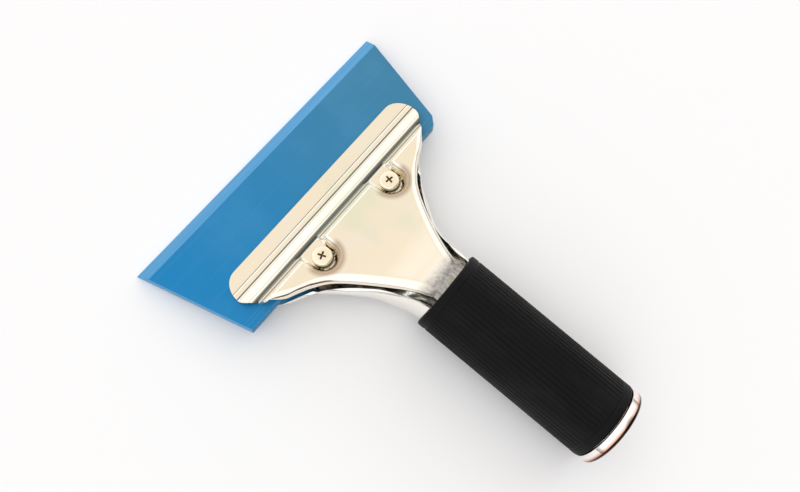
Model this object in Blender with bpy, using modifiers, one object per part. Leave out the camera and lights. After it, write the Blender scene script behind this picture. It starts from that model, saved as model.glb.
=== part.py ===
"""Squeegee applicator: a blue blade held between two pressed steel jaws on a tubular handle.

+Y runs forward to the blade's edge, +X to the right and +Z up, with the clamp plate on top. The
object lies on its back, on the blade's lower front edge and on the grip, and z = 0 is that surface.
The jaws and the blade slope down towards the front. A place in them is given as (across, behind,
above): sideways, behind the blade's front edge, and above the blade's middle plane.
"""

import math

import bmesh
import bpy
import numpy as np
from mathutils import Matrix, Vector

MM = 0.001

# Overall
TOTAL_LENGTH = 165 * MM
JAW_SLOPE = math.radians(8)
CLEARANCE = 0.3 * MM
SHEET = 0.9 * MM

# Blade
BLADE_LENGTH = 130 * MM
BLADE_DEPTH = 45.6 * MM
BLADE_THICKNESS = 5.0 * MM
BLADE_BEVEL = 5.6 * MM
BLADE_NOSE = 0.6 * MM
BLADE_END_SLANTS = {"right": 0.29, "left": 0.23}
BLADE_CORNER_CUT = 2.0 * MM

# Tube, grip and cap
TUBE_RADIUS = 13.8 * MM
GRIP_WALL = 1.5 * MM
GRIP_LENGTH = 73.4 * MM
GRIP_ROUNDING = 0.8 * MM
CAP_LENGTH = 4.2 * MM
CAP_ROUNDING = 2.2 * MM
CAP_CHAMFER = 0.4 * MM
CAP_PLUG_LENGTH = 12 * MM
CAP_WALL = 1.6 * MM

# Jaws
JAW_BITE = 18.6 * MM
JAW_HALF_WIDTH = 50.0 * MM
JAW_INSET = 0.5 * MM
TONGUE_HALF_WIDTH = 8.2 * MM
TAIL_LENGTH = 10 * MM
NOTCH_GAP = 3.0 * MM
LIP_WIDTH = 9.0 * MM
BEAD_WIDTH = 5.2 * MM
BEAD_RISE = 1.2 * MM
BEAD_FULLNESS = 0.8
PLATFORM_OVERLAP = 3.2 * MM
PLATFORM_RISE = 3.6 * MM
TONGUE_BLEND = 6 * MM
RIM_DROP = 3.0 * MM
RIM_DROP_START = 6 * MM
RIM_WIDTH = 4.6 * MM
RIM_INSET = 2.4 * MM
RIM_INSET_AT_JAW = 0.25
RIM_ROUNDING = 3.2 * MM
WALL_START = 0.8 * MM
WALL_END = 9.5 * MM
WALL_FULLNESS = 0.8
FLOOR_DROP_START = 6 * MM
TUBE_BLEND = 28 * MM
RIM_CLIMB = 14 * MM

# Fasteners
SCREW_ACROSS = 19.25 * MM
SHANK_RADIUS = 1.75 * MM
SHANK_HOLE = 0.35 * MM
HEAD_RADIUS = 3.8 * MM
HEAD_HEIGHT = 2.3 * MM
HEAD_ROUNDING = 0.6 * MM
RECESS_SPAN = 4.0 * MM
RECESS_WIDTH = 0.8 * MM
RECESS_DEPTH = 1.2 * MM
RECESS_TURN = math.radians(20)
SCREW_TIP = 0.9 * MM
TIP_CHAMFER = 0.3 * MM
HOLE_CUT_LENGTH = 6 * MM
NUT_FLATS = 6.0 * MM
NUT_HEIGHT = 2.4 * MM
NUT_CHAMFER = 0.35 * MM
POCKET_MARGIN = 0.9 * MM
POCKET_REAR_MARGIN = 1.6 * MM
POCKET_WALL = 1.0 * MM

# Outlines of the two jaws: how far along from the lip to the grip's mouth, and how much of the way
# from the mouth's half-width out to the jaw's full half-width.
CLAMP_OUTLINE = [
    (0, 0.83), (0.02, 0.9), (0.057, 0.957), (0.1, 0.99), (0.138, 1), (0.18, 0.976), (0.229, 0.914),
    (0.298, 0.81), (0.342, 0.733), (0.375, 0.635), (0.408, 0.545), (0.485, 0.4), (0.624, 0.25),
    (0.767, 0.127), (0.857, 0.062), (0.95, 0.012), (1, 0),
]
BASE_OUTLINE = [
    (0, 0.79), (0.02, 0.87), (0.057, 0.95), (0.1, 0.988), (0.138, 1), (0.18, 0.972), (0.229, 0.9),
    (0.298, 0.78), (0.342, 0.683), (0.391, 0.563), (0.473, 0.398), (0.604, 0.232), (0.718, 0.109),
    (0.816, 0.052), (0.9, 0.02), (1, 0),
]
# Height of the clamp plate's platform on its way to the tube, as a share of the whole climb.
PLATFORM_CLIMB = [(0, 0), (0.3, 0.03), (0.52, 0.15), (0.78, 0.42), (0.9, 0.59), (1, 1)]

# Worked out
HALF_BLADE = BLADE_THICKNESS / 2
LIP_BEHIND = BLADE_DEPTH - JAW_BITE
BEAD_FRONT = LIP_BEHIND + LIP_WIDTH
BEAD_REAR = BEAD_FRONT + BEAD_WIDTH
PLATFORM_FRONT = BLADE_DEPTH - PLATFORM_OVERLAP
POCKET_HALF_WIDTH = HEAD_RADIUS + POCKET_MARGIN
POCKET_REAR = HEAD_RADIUS + POCKET_REAR_MARGIN
GRIP_BORE = TUBE_RADIUS + CLEARANCE
GRIP_RADIUS = GRIP_BORE + GRIP_WALL
AXIS_Z = GRIP_RADIUS
EDGE_Y = TOTAL_LENGTH / 2 + (HALF_BLADE - BLADE_NOSE) * math.sin(JAW_SLOPE)
EDGE_Z = HALF_BLADE * math.cos(JAW_SLOPE)
BUTT_Y = -TOTAL_LENGTH / 2
GRIP_REAR_Y = BUTT_Y + CAP_LENGTH
MOUTH_Y = GRIP_REAR_Y + GRIP_LENGTH
MOUTH_BEHIND = (EDGE_Y - MOUTH_Y) / math.cos(JAW_SLOPE)
SCREW_BEHIND = BLADE_DEPTH + CLEARANCE + SHANK_RADIUS
JAW_FACE = HALF_BLADE + CLEARANCE
JAW_OUTSIDE = JAW_FACE + SHEET
NUT_TOP = -JAW_OUTSIDE - CLEARANCE
NUT_MIDDLE = NUT_TOP - NUT_HEIGHT / 2
SEAT_RADIUS = SHANK_RADIUS + SHANK_HOLE

RIGHT_AND_LEFT = {"right": 1, "left": -1}

PAINTS = {
    "blade": ("blade_blue", (0.035, 0.24, 0.52), 0.42, 0.0),
    "steel": ("polished_steel", (0.78, 0.76, 0.72), 0.18, 1.0),
    "fastener": ("plated_fastener", (0.72, 0.68, 0.58), 0.3, 1.0),
    "rubber": ("grip_rubber", (0.012, 0.012, 0.013), 0.65, 0.0),
    "chrome": ("bright_chrome", (0.85, 0.84, 0.83), 0.08, 1.0),
}


def jaw_point(across, behind, above):
    """A place in the jaws, as a world position."""
    return Vector((
        across,
        EDGE_Y - behind * math.cos(JAW_SLOPE) + above * math.sin(JAW_SLOPE),
        EDGE_Z + behind * math.sin(JAW_SLOPE) + above * math.cos(JAW_SLOPE),
    ))


def jaw_placement(across, behind, above):
    """A frame whose +Z stands square on the blade."""
    return Matrix.Translation(jaw_point(across, behind, above)) @ Matrix.Rotation(-JAW_SLOPE, 4, "X")


def ease(value, start, end):
    """0 before start, 1 after end, and a smooth rise between."""
    share = min(max((value - start) / (end - start), 0.0), 1.0)
    return share * share * (3 - 2 * share)


def smooth_through(points, at):
    """A curve through the points that never overshoots them."""
    x, y = np.array(points, float).T
    slopes = np.diff(y) / np.diff(x)
    bends = np.zeros(len(x))
    same_way = slopes[:-1] * slopes[1:] > 0
    bends[1:-1][same_way] = 2 / (1 / slopes[:-1][same_way] + 1 / slopes[1:][same_way])
    bends[0], bends[-1] = slopes[0], slopes[-1]
    at = min(max(at, x[0]), x[-1])
    i = min(int(np.searchsorted(x, at, side="right")) - 1, len(x) - 2)
    step = x[i + 1] - x[i]
    t = (at - x[i]) / step
    return (
        (1 + 2 * t) * (1 - t) ** 2 * y[i] + t * (1 - t) ** 2 * step * bends[i]
        + t * t * (3 - 2 * t) * y[i + 1] + t * t * (t - 1) * step * bends[i + 1]
    )


def half_width(outline, narrow, wide, behind):
    """Half the width of a jaw whose outline runs from wide at the lip to narrow at the mouth."""
    along = (behind - LIP_BEHIND) / (MOUTH_BEHIND - LIP_BEHIND)
    return narrow + (wide - narrow) * smooth_through(outline, along)


def clamp_half_width(behind):
    return half_width(CLAMP_OUTLINE, TONGUE_HALF_WIDTH, JAW_HALF_WIDTH, behind)


def base_half_width(behind):
    return half_width(BASE_OUTLINE, TUBE_RADIUS, JAW_HALF_WIDTH - JAW_INSET, behind)


def tube_top_above(behind):
    """Height of the tube's top over the blade's middle plane."""
    top = AXIS_Z + TUBE_RADIUS - EDGE_Z
    return (top - behind * math.sin(JAW_SLOPE)) / math.cos(JAW_SLOPE)


def pocket_depth(across, behind):
    """1 inside a screw's pocket, which opens into the valley in front, 0 outside it."""
    sideways = abs(abs(across) - SCREW_ACROSS)
    back = max(behind - SCREW_BEHIND - (POCKET_REAR - POCKET_HALF_WIDTH), 0.0)
    out = math.hypot(sideways, back) - POCKET_HALF_WIDTH
    return 1 - ease(out, -POCKET_WALL / 2, POCKET_WALL / 2)


def clamp_top(across, behind):
    """Height of the clamp plate's upper surface over the blade's middle plane."""
    level = JAW_OUTSIDE
    if BEAD_FRONT < behind < BEAD_REAR:
        share = (behind - BEAD_FRONT) / (BEAD_REAR - BEAD_FRONT)
        level += BEAD_RISE * math.sin(math.pi * share) ** BEAD_FULLNESS
    if behind <= PLATFORM_FRONT - POCKET_WALL:
        return level
    mouth_top = tube_top_above(MOUTH_BEHIND)
    along = (behind - PLATFORM_FRONT) / (MOUTH_BEHIND - PLATFORM_FRONT)
    low = JAW_OUTSIDE + PLATFORM_RISE
    platform = low + (mouth_top - low) * smooth_through(PLATFORM_CLIMB, along)
    if behind > MOUTH_BEHIND:
        platform = tube_top_above(behind)
    edge = clamp_half_width(behind)
    rim = min(RIM_WIDTH, edge)
    inward = min(max((edge - abs(across)) / rim, 0.0), 1.0)
    rolled = 1 - math.sqrt(max(1 - (1 - inward) ** 2, 0.0))
    pressed = rolled * RIM_DROP * ease(behind, PLATFORM_FRONT, PLATFORM_FRONT + RIM_DROP_START)
    on_tube = TUBE_RADIUS - math.sqrt(TUBE_RADIUS**2 - min(abs(across), TUBE_RADIUS) ** 2)
    near_mouth = ease(behind, MOUTH_BEHIND - TONGUE_BLEND, MOUTH_BEHIND)
    platform -= pressed * (1 - near_mouth) + on_tube * near_mouth
    front = ease(behind, PLATFORM_FRONT - POCKET_WALL, PLATFORM_FRONT + POCKET_WALL)
    return level + (platform - level) * front * (1 - pocket_depth(across, behind))


def clamp_edge_z(behind):
    """Height of the clamp plate's side edge over the ground."""
    return jaw_point(0, behind, clamp_top(clamp_half_width(behind), behind)).z


def make_object(name, mesh, paint, matrix=None):
    """Adds one piece to the applicator's collection, in its material."""
    made = bpy.data.objects.new(name, mesh)
    parts.objects.link(made)
    made.data.materials.append(material(paint))
    if matrix is not None:
        made.matrix_world = matrix
    return made


def material(paint):
    name, colour, roughness, metallic = PAINTS[paint]
    made = bpy.data.materials.new(name)
    made.use_nodes = True
    shader = made.node_tree.nodes["Principled BSDF"]
    shader.inputs["Base Color"].default_value = (*colour, 1)
    shader.inputs["Roughness"].default_value = roughness
    shader.inputs["Metallic"].default_value = metallic
    made.diffuse_color = (*colour, 1)
    return made


def mesh_from(bm, name):
    mesh = bpy.data.meshes.new(name)
    bm.to_mesh(mesh)
    bm.free()
    mesh.shade_smooth()
    mesh.set_sharp_from_angle(angle=math.radians(35))
    return mesh


def cutter(name, bm, matrix):
    """A hidden shape that Booleans take away."""
    made = bpy.data.objects.new(name, mesh_from(bm, name))
    cutters.objects.link(made)
    made.matrix_world = matrix
    made.display_type = "WIRE"
    made.hide_render = True
    return made


def cylinder(radius, height, sides=32):
    bm = bmesh.new()
    bmesh.ops.create_cone(
        bm, cap_ends=True, segments=sides, radius1=radius, radius2=radius, depth=height
    )
    return bm


def box(size):
    bm = bmesh.new()
    bmesh.ops.create_cube(bm, size=1)
    bmesh.ops.scale(bm, vec=size, verts=bm.verts)
    return bm


def cut(target, tool):
    modifier = target.modifiers.new("cut " + tool.name, "BOOLEAN")
    modifier.operation = "DIFFERENCE"
    modifier.solver = "EXACT"
    modifier.object = tool


def thicken(target):
    """Turns a sheet's outer surface into sheet metal, inwards."""
    shell = target.modifiers.new("sheet", "SOLIDIFY")
    shell.thickness = SHEET
    shell.offset = -1
    shell.use_even_offset = False


def rounded(corner_in, corner, corner_out, radius, steps=4):
    """Points of a quarter arc that rounds the corner of a profile."""
    start = Vector(corner) + (Vector(corner_in) - Vector(corner)).normalized() * radius
    end = Vector(corner) + (Vector(corner_out) - Vector(corner)).normalized() * radius
    centre = start + end - Vector(corner)
    arc = []
    for step in range(steps + 1):
        turn = step / steps * math.pi / 2
        arc.append(tuple(centre + (start - centre) * math.cos(turn) + (end - centre) * math.sin(turn)))
    return arc


def turned(name, profile, paint, matrix, closed, steps=48):
    """A turned piece: a profile of (radius, height) points, top to bottom on its outer side."""
    mesh = bpy.data.meshes.new(name)
    points = [(radius, 0, height) for radius, height in profile]
    edges = [(i, i + 1) for i in range(len(points) - 1)]
    if closed:
        edges.append((len(points) - 1, 0))
    mesh.from_pydata(points, edges, [])
    made = make_object(name, mesh, paint, matrix)
    screw = made.modifiers.new("turn", "SCREW")
    screw.steps = steps
    screw.render_steps = steps
    screw.use_merge_vertices = True
    screw.merge_threshold = 0.00001
    screw.use_smooth_shade = True
    return made


def along_handle(y):
    """A frame on the handle's axis whose +Z points forward."""
    return Matrix.Translation((0, y, AXIS_Z)) @ Matrix.Rotation(-math.pi / 2, 4, "X")


def grid_sheet(rows, columns, place):
    """A sheet of rows by columns points, each where place(row, column) says."""
    bm = bmesh.new()
    bmesh.ops.create_grid(bm, x_segments=columns - 1, y_segments=rows - 1, size=0.5)
    for vertex in bm.verts:
        column = round((vertex.co.x + 0.5) * (columns - 1))
        row = round((vertex.co.y + 0.5) * (rows - 1))
        vertex.co = place(row, column)
    bm.normal_update()
    return bm


def make_blade():
    """A flat bar, bevelled along its front, with slanted ends and one clipped rear corner."""
    bm = box((BLADE_LENGTH, BLADE_DEPTH, BLADE_THICKNESS))
    front = BLADE_DEPTH / 2
    half = BLADE_LENGTH / 2
    slice_off(bm, (0, front, BLADE_NOSE - HALF_BLADE), (0, BLADE_THICKNESS - BLADE_NOSE, BLADE_BEVEL))
    for side, sign in RIGHT_AND_LEFT.items():
        slice_off(bm, (sign * half, front, 0), (sign, -BLADE_END_SLANTS[side], 0))
    corner = half - BLADE_END_SLANTS["right"] * BLADE_DEPTH
    slice_off(bm, (corner - BLADE_CORNER_CUT / 2, -front + BLADE_CORNER_CUT / 2, 0), (1, -1, 0))
    bmesh.ops.translate(bm, vec=(0, -front, 0), verts=bm.verts)
    make_object("blade", mesh_from(bm, "blade"), "blade", jaw_placement(0, 0, 0))


def slice_off(bm, point, outward):
    """Cuts away what lies beyond a plane, and closes the cut."""
    whole = bm.verts[:] + bm.edges[:] + bm.faces[:]
    cut_through = bmesh.ops.bisect_plane(
        bm, geom=whole, plane_co=point, plane_no=Vector(outward).normalized(), clear_outer=True
    )
    edges = [item for item in cut_through["geom_cut"] if isinstance(item, bmesh.types.BMEdge)]
    bmesh.ops.edgeloop_fill(bm, edges=edges)
    bmesh.ops.recalc_face_normals(bm, faces=bm.faces)


def spread(start, end, count):
    """Evenly spaced places from start up to, but not including, end."""
    return [start + (end - start) * step / count for step in range(count)]


def make_clamp_plate():
    """The upper jaw: lip, bead, valley, screw pockets, platform, and a tongue that runs under the grip."""
    rows = spread(LIP_BEHIND, BEAD_FRONT, 5)
    rows += spread(BEAD_FRONT, BEAD_REAR, 5)
    rows += spread(BEAD_REAR, PLATFORM_FRONT - POCKET_WALL, 1)
    rows += spread(PLATFORM_FRONT - POCKET_WALL, PLATFORM_FRONT + POCKET_WALL, 4)
    pocket_end = SCREW_BEHIND + POCKET_REAR + POCKET_WALL
    rows += spread(PLATFORM_FRONT + POCKET_WALL, pocket_end, 8)
    rows += spread(pocket_end, MOUTH_BEHIND, 12)
    rows += spread(MOUTH_BEHIND, MOUTH_BEHIND + TAIL_LENGTH, 2) + [MOUTH_BEHIND + TAIL_LENGTH]
    near, far = SCREW_ACROSS - POCKET_HALF_WIDTH, SCREW_ACROSS + POCKET_HALF_WIDTH
    wall = POCKET_WALL / 2
    inner = [0, near / 2, near - wall, near + wall]
    inner += [SCREW_ACROSS + HEAD_RADIUS * share for share in (-0.8, -0.4, 0.4, 0.8)]
    inner += [far - wall, far + wall]
    rim = [RIM_WIDTH, RIM_WIDTH * 0.6, RIM_WIDTH * 0.3, RIM_WIDTH * 0.1, 0]
    half = len(inner) + len(rim) - 1

    def place(row, column):
        side = column - half
        index = abs(side)
        behind = rows[row]
        edge = clamp_half_width(behind)
        reach = edge - min(RIM_WIDTH, edge / 3)
        if index < len(inner):
            across = inner[index] * min(1.0, reach * 0.97 / inner[-1])
        else:
            across = edge - rim[index - len(inner)] * min(1.0, edge / 3 / RIM_WIDTH)
        across = math.copysign(across, side) if side else 0.0
        return jaw_point(across, behind, clamp_top(across, behind))

    bm = grid_sheet(len(rows), 2 * half + 1, place)
    turn_upwards(bm)
    plate = make_object("clamp_plate", mesh_from(bm, "clamp_plate"), "steel")
    thicken(plate)
    for side, sign in RIGHT_AND_LEFT.items():
        place_hole = jaw_placement(sign * SCREW_ACROSS, SCREW_BEHIND, JAW_OUTSIDE)
        cut(plate, cutter("clamp_hole_" + side, cylinder(SEAT_RADIUS, HOLE_CUT_LENGTH), place_hole))


def turn_upwards(bm):
    """Makes an open sheet's faces point up."""
    if sum(face.normal.z * face.calc_area() for face in bm.faces) < 0:
        bmesh.ops.reverse_faces(bm, faces=bm.faces)


def base_section(behind, turn):
    """A point of the lower jaw's outer surface: turn runs from -1 at its left rim to 1 at its right."""
    wide = base_half_width(behind)
    y = jaw_point(0, behind, -JAW_OUTSIDE).y
    jaw_floor = jaw_point(0, behind, -JAW_OUTSIDE).z
    floor = jaw_floor + (AXIS_Z - TUBE_RADIUS - jaw_floor) * ease(
        behind, BLADE_DEPTH + FLOOR_DROP_START, MOUTH_BEHIND
    )
    to_tube = ease(behind, MOUTH_BEHIND - TUBE_BLEND, MOUTH_BEHIND)
    mouth_inset = TUBE_RADIUS - TONGUE_HALF_WIDTH - NOTCH_GAP
    curled = ease(behind, BLADE_DEPTH + WALL_END / 2, BLADE_DEPTH + 2 * WALL_END)
    curl = RIM_INSET * (RIM_INSET_AT_JAW + (1 - RIM_INSET_AT_JAW) * curled)
    inset = curl + (mouth_inset - curl) * to_tube
    rounding = RIM_ROUNDING + (TUBE_RADIUS - RIM_ROUNDING) * to_tube
    rim_turn = math.acos(1 - inset / rounding)
    tucked = clamp_edge_z(behind) - SHEET - 2 * CLEARANCE
    at_mouth = AXIS_Z + math.sqrt(TUBE_RADIUS**2 - (TUBE_RADIUS - mouth_inset) ** 2)
    rim_z = tucked + (at_mouth - tucked) * ease(behind, MOUTH_BEHIND - RIM_CLIMB, MOUTH_BEHIND)
    widest_z = rim_z - rounding * math.sin(rim_turn)
    corner = 1 + WALL_FULLNESS * (1 - to_tube)
    angle = abs(turn) * (math.pi / 2 + rim_turn) - math.pi / 2
    if angle < 0:
        across = wide * math.cos(angle) ** (1 / corner)
        z = widest_z - (widest_z - floor) * (-math.sin(angle)) ** (1 / corner)
    else:
        across = wide - rounding * (1 - math.cos(angle))
        z = widest_z + rounding * math.sin(angle)
    walled = ease(behind, BLADE_DEPTH + WALL_START, BLADE_DEPTH + WALL_END)
    across = wide * abs(turn) * (1 - walled) + across * walled
    z = jaw_floor * (1 - walled) + z * walled
    return Vector((math.copysign(across, turn) if turn else 0.0, y, z))


def make_handle_body():
    """The lower jaw, which narrows into the handle's tube, in one piece of sheet steel."""
    rows = spread(LIP_BEHIND, BEAD_FRONT, 5)
    rows += spread(BEAD_FRONT, BLADE_DEPTH + WALL_START, 4)
    rows += spread(BLADE_DEPTH + WALL_START, BLADE_DEPTH + WALL_END, 6)
    rows += spread(BLADE_DEPTH + WALL_END, MOUTH_BEHIND, 12) + [MOUTH_BEHIND]
    notch_rear = MOUTH_Y - TAIL_LENGTH - 3 * CLEARANCE
    tube_rows = [MOUTH_Y - TAIL_LENGTH / 2, notch_rear - NOTCH_GAP, GRIP_REAR_Y + CLEARANCE]
    around = 40

    def place(row, column):
        turn = 2 * column / around - 1
        if row < len(rows):
            return base_section(rows[row], turn)
        angle = turn * math.pi
        y = tube_rows[row - len(rows)]
        return Vector((TUBE_RADIUS * math.sin(angle), y, AXIS_Z - TUBE_RADIUS * math.cos(angle)))

    bm = grid_sheet(len(rows) + len(tube_rows), around + 1, place)
    bmesh.ops.remove_doubles(bm, verts=bm.verts, dist=0.00001)
    turn_upwards(bm)
    bmesh.ops.reverse_faces(bm, faces=bm.faces)
    body = make_object("handle_body", mesh_from(bm, "handle_body"), "steel")
    thicken(body)
    notch_half = TONGUE_HALF_WIDTH + NOTCH_GAP
    notch_front = MOUTH_Y + CLEARANCE
    notch = Vector((2 * notch_half, notch_front - notch_rear, TUBE_RADIUS))
    middle = (0, (notch_front + notch_rear) / 2, AXIS_Z + TUBE_RADIUS)
    cut(body, cutter("tongue_notch", box(notch), Matrix.Translation(middle)))
    for side, sign in RIGHT_AND_LEFT.items():
        place_hole = jaw_placement(sign * SCREW_ACROSS, SCREW_BEHIND, -JAW_OUTSIDE)
        cut(body, cutter("base_hole_" + side, cylinder(SEAT_RADIUS, HOLE_CUT_LENGTH), place_hole))


def make_screws_and_nuts():
    """Two cross-recess screws behind the blade, and the nuts they turn in under the lower jaw."""
    head_under = JAW_OUTSIDE + CLEARANCE
    tip = NUT_TOP - NUT_HEIGHT - SCREW_TIP - head_under
    crown = rounded((0, HEAD_HEIGHT), (HEAD_RADIUS, HEAD_HEIGHT), (HEAD_RADIUS, 0), HEAD_ROUNDING)
    end = rounded((SHANK_RADIUS, 0), (SHANK_RADIUS, tip), (0, tip), TIP_CHAMFER, steps=1)
    profile = [(0, HEAD_HEIGHT), *crown, (HEAD_RADIUS, 0), (SHANK_RADIUS, 0), *end, (0, tip)]
    for side, sign in RIGHT_AND_LEFT.items():
        seat = jaw_placement(sign * SCREW_ACROSS, SCREW_BEHIND, head_under)
        screw = turned("screw_" + side, profile, "fastener", seat, closed=False, steps=32)
        turned_top = Matrix.Translation((0, 0, HEAD_HEIGHT)) @ Matrix.Rotation(RECESS_TURN, 4, "Z")
        for index, size in enumerate([(RECESS_SPAN, RECESS_WIDTH), (RECESS_WIDTH, RECESS_SPAN)]):
            slot = box((*size, 2 * RECESS_DEPTH))
            cut(screw, cutter(f"recess_{side}_{index}", slot, seat @ turned_top))
        make_nut(side, sign)


def make_nut(side, sign):
    """A chamfered hexagon nut, square on the blade."""
    corner_radius = NUT_FLATS / 2 / math.cos(math.pi / 6)
    bm = cylinder(corner_radius, NUT_HEIGHT, sides=6)
    rims = [edge for edge in bm.edges if abs(edge.verts[0].co.z - edge.verts[1].co.z) < 0.1 * MM]
    bmesh.ops.bevel(
        bm, geom=rims, offset=NUT_CHAMFER, segments=1, profile=0.5, affect="EDGES", material=-1
    )
    seat = jaw_placement(sign * SCREW_ACROSS, SCREW_BEHIND, NUT_MIDDLE)
    nut = make_object("nut_" + side, mesh_from(bm, "nut_" + side), "fastener", seat)
    cut(nut, cutter("nut_bore_" + side, cylinder(SEAT_RADIUS, 2 * NUT_HEIGHT), seat))


def make_grip_sleeve():
    """A thick rubber sleeve over the tube."""
    top = GRIP_LENGTH
    profile = [
        *rounded((GRIP_BORE, top), (GRIP_RADIUS, top), (GRIP_RADIUS, 0), GRIP_ROUNDING),
        *rounded((GRIP_RADIUS, top), (GRIP_RADIUS, CLEARANCE), (GRIP_BORE, CLEARANCE), GRIP_ROUNDING),
        (GRIP_BORE, CLEARANCE),
        (GRIP_BORE, top),
    ]
    turned("grip_sleeve", profile, "rubber", along_handle(GRIP_REAR_Y), closed=True)


def make_end_cap():
    """A bright cup that closes the tube's rear end, with a plug that fits inside the tube."""
    plug = TUBE_RADIUS - SHEET - CLEARANCE
    seat = CAP_LENGTH
    profile = [
        (plug - CAP_WALL, seat + CAP_PLUG_LENGTH),
        (plug, seat + CAP_PLUG_LENGTH),
        (plug, seat),
        (GRIP_RADIUS - CAP_CHAMFER, seat),
        (GRIP_RADIUS, seat - CAP_CHAMFER),
        *rounded((GRIP_RADIUS, seat), (GRIP_RADIUS, 0), (0, 0), CAP_ROUNDING, steps=5),
        (0, 0),
    ]
    inside = [(0, CAP_WALL), (plug - CAP_WALL, CAP_WALL)]
    turned("end_cap", [*inside, *profile], "chrome", along_handle(BUTT_Y), closed=False)


def clear_scene():
    for leftover in list(bpy.data.objects):
        bpy.data.objects.remove(leftover, do_unlink=True)


def collection(name):
    made = bpy.data.collections.new(name)
    bpy.context.scene.collection.children.link(made)
    return made


clear_scene()
parts = collection("squeegee_applicator")
cutters = collection("cutters")
make_blade()
make_clamp_plate()
make_handle_body()
make_screws_and_nuts()
make_grip_sleeve()
make_end_cap()
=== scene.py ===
"""Squeegee applicator: the finished surfaces of its pieces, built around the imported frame.

Shapes are worked out in millimetres and scaled to metres when a piece is finished. +Y runs forward to
the blade's edge, +X to the right and +Z up. A place in the sloping jaws is given as (across, behind,
above): sideways, behind the blade's front edge, and above the blade's middle plane.
"""

import functools
import logging
import math
from dataclasses import dataclass, field
from enum import Enum
from typing import Callable, Sequence

import bmesh
import bpy
import numpy as np
from mathutils import Matrix, Vector


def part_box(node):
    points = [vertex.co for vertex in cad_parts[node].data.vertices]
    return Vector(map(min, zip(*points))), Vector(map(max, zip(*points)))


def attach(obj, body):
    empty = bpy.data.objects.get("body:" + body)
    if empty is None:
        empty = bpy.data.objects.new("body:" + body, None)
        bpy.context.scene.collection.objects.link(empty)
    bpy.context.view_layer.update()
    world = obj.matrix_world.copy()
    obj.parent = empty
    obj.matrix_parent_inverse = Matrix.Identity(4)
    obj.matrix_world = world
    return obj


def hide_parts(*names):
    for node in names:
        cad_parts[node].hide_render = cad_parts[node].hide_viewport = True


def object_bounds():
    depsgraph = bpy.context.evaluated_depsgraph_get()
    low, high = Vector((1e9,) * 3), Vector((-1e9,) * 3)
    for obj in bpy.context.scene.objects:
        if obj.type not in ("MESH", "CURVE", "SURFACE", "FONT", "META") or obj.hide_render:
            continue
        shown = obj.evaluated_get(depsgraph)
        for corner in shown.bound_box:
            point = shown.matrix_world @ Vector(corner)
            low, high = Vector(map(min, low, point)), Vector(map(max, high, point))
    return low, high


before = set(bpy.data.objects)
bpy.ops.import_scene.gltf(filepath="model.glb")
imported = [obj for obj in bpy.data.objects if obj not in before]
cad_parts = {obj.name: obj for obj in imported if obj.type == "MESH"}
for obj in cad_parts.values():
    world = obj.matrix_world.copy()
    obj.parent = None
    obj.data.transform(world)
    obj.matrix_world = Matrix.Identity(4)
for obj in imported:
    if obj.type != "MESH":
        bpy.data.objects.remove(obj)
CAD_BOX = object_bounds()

LOG = logging.getLogger("squeegee")
MM = 0.001

Colour = tuple[float, float, float]
Place = Callable[[int, int], Vector]


class Side(Enum):
    """The two sides of the tool, as the sign of their X."""

    LEFT = -1
    RIGHT = 1

    @property
    def word(self) -> str:
        """The side's name as the frame's nodes and bodies spell it."""
        return self.name.lower()


# ---------------------------------------------------------------- shared measures and curves


def ease(value: float, start: float, end: float) -> float:
    """Rises smoothly from 0 before start to 1 after end.

    Args:
        value: Where to read the rise.
        start: Where the rise begins.
        end: Where it is complete.

    Returns:
        A share from 0 to 1.
    """
    share = min(max((value - start) / (end - start), 0.0), 1.0)
    return share * share * (3 - 2 * share)


def smooth_through(points: Sequence[tuple[float, float]], at: float) -> float:
    """Reads a curve that passes through points and never overshoots them.

    Args:
        points: Pairs of position and value, in order of position.
        at: Where to read the curve.

    Returns:
        The curve's value.
    """
    x, y = np.array(points, float).T
    slopes = np.diff(y) / np.diff(x)
    bends = np.zeros(len(x))
    same_way = slopes[:-1] * slopes[1:] > 0
    bends[1:-1][same_way] = 2 / (1 / slopes[:-1][same_way] + 1 / slopes[1:][same_way])
    bends[0], bends[-1] = slopes[0], slopes[-1]
    at = min(max(at, x[0]), x[-1])
    i = min(int(np.searchsorted(x, at, side="right")) - 1, len(x) - 2)
    step = x[i + 1] - x[i]
    t = (at - x[i]) / step
    return float(
        (1 + 2 * t) * (1 - t) ** 2 * y[i] + t * (1 - t) ** 2 * step * bends[i]
        + t * t * (3 - 2 * t) * y[i + 1] + t * t * (t - 1) * step * bends[i + 1]
    )


def spread(start: float, end: float, count: int) -> list[float]:
    """Evenly spaced places from start up to, but not including, end."""
    return [start + (end - start) * step / count for step in range(count)]


@functools.cache
def box_mm(node: str) -> tuple[Vector, Vector]:
    """The lowest and highest corners of a node of the frame, in millimetres."""
    low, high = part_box(node)
    return low / MM, high / MM


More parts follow.
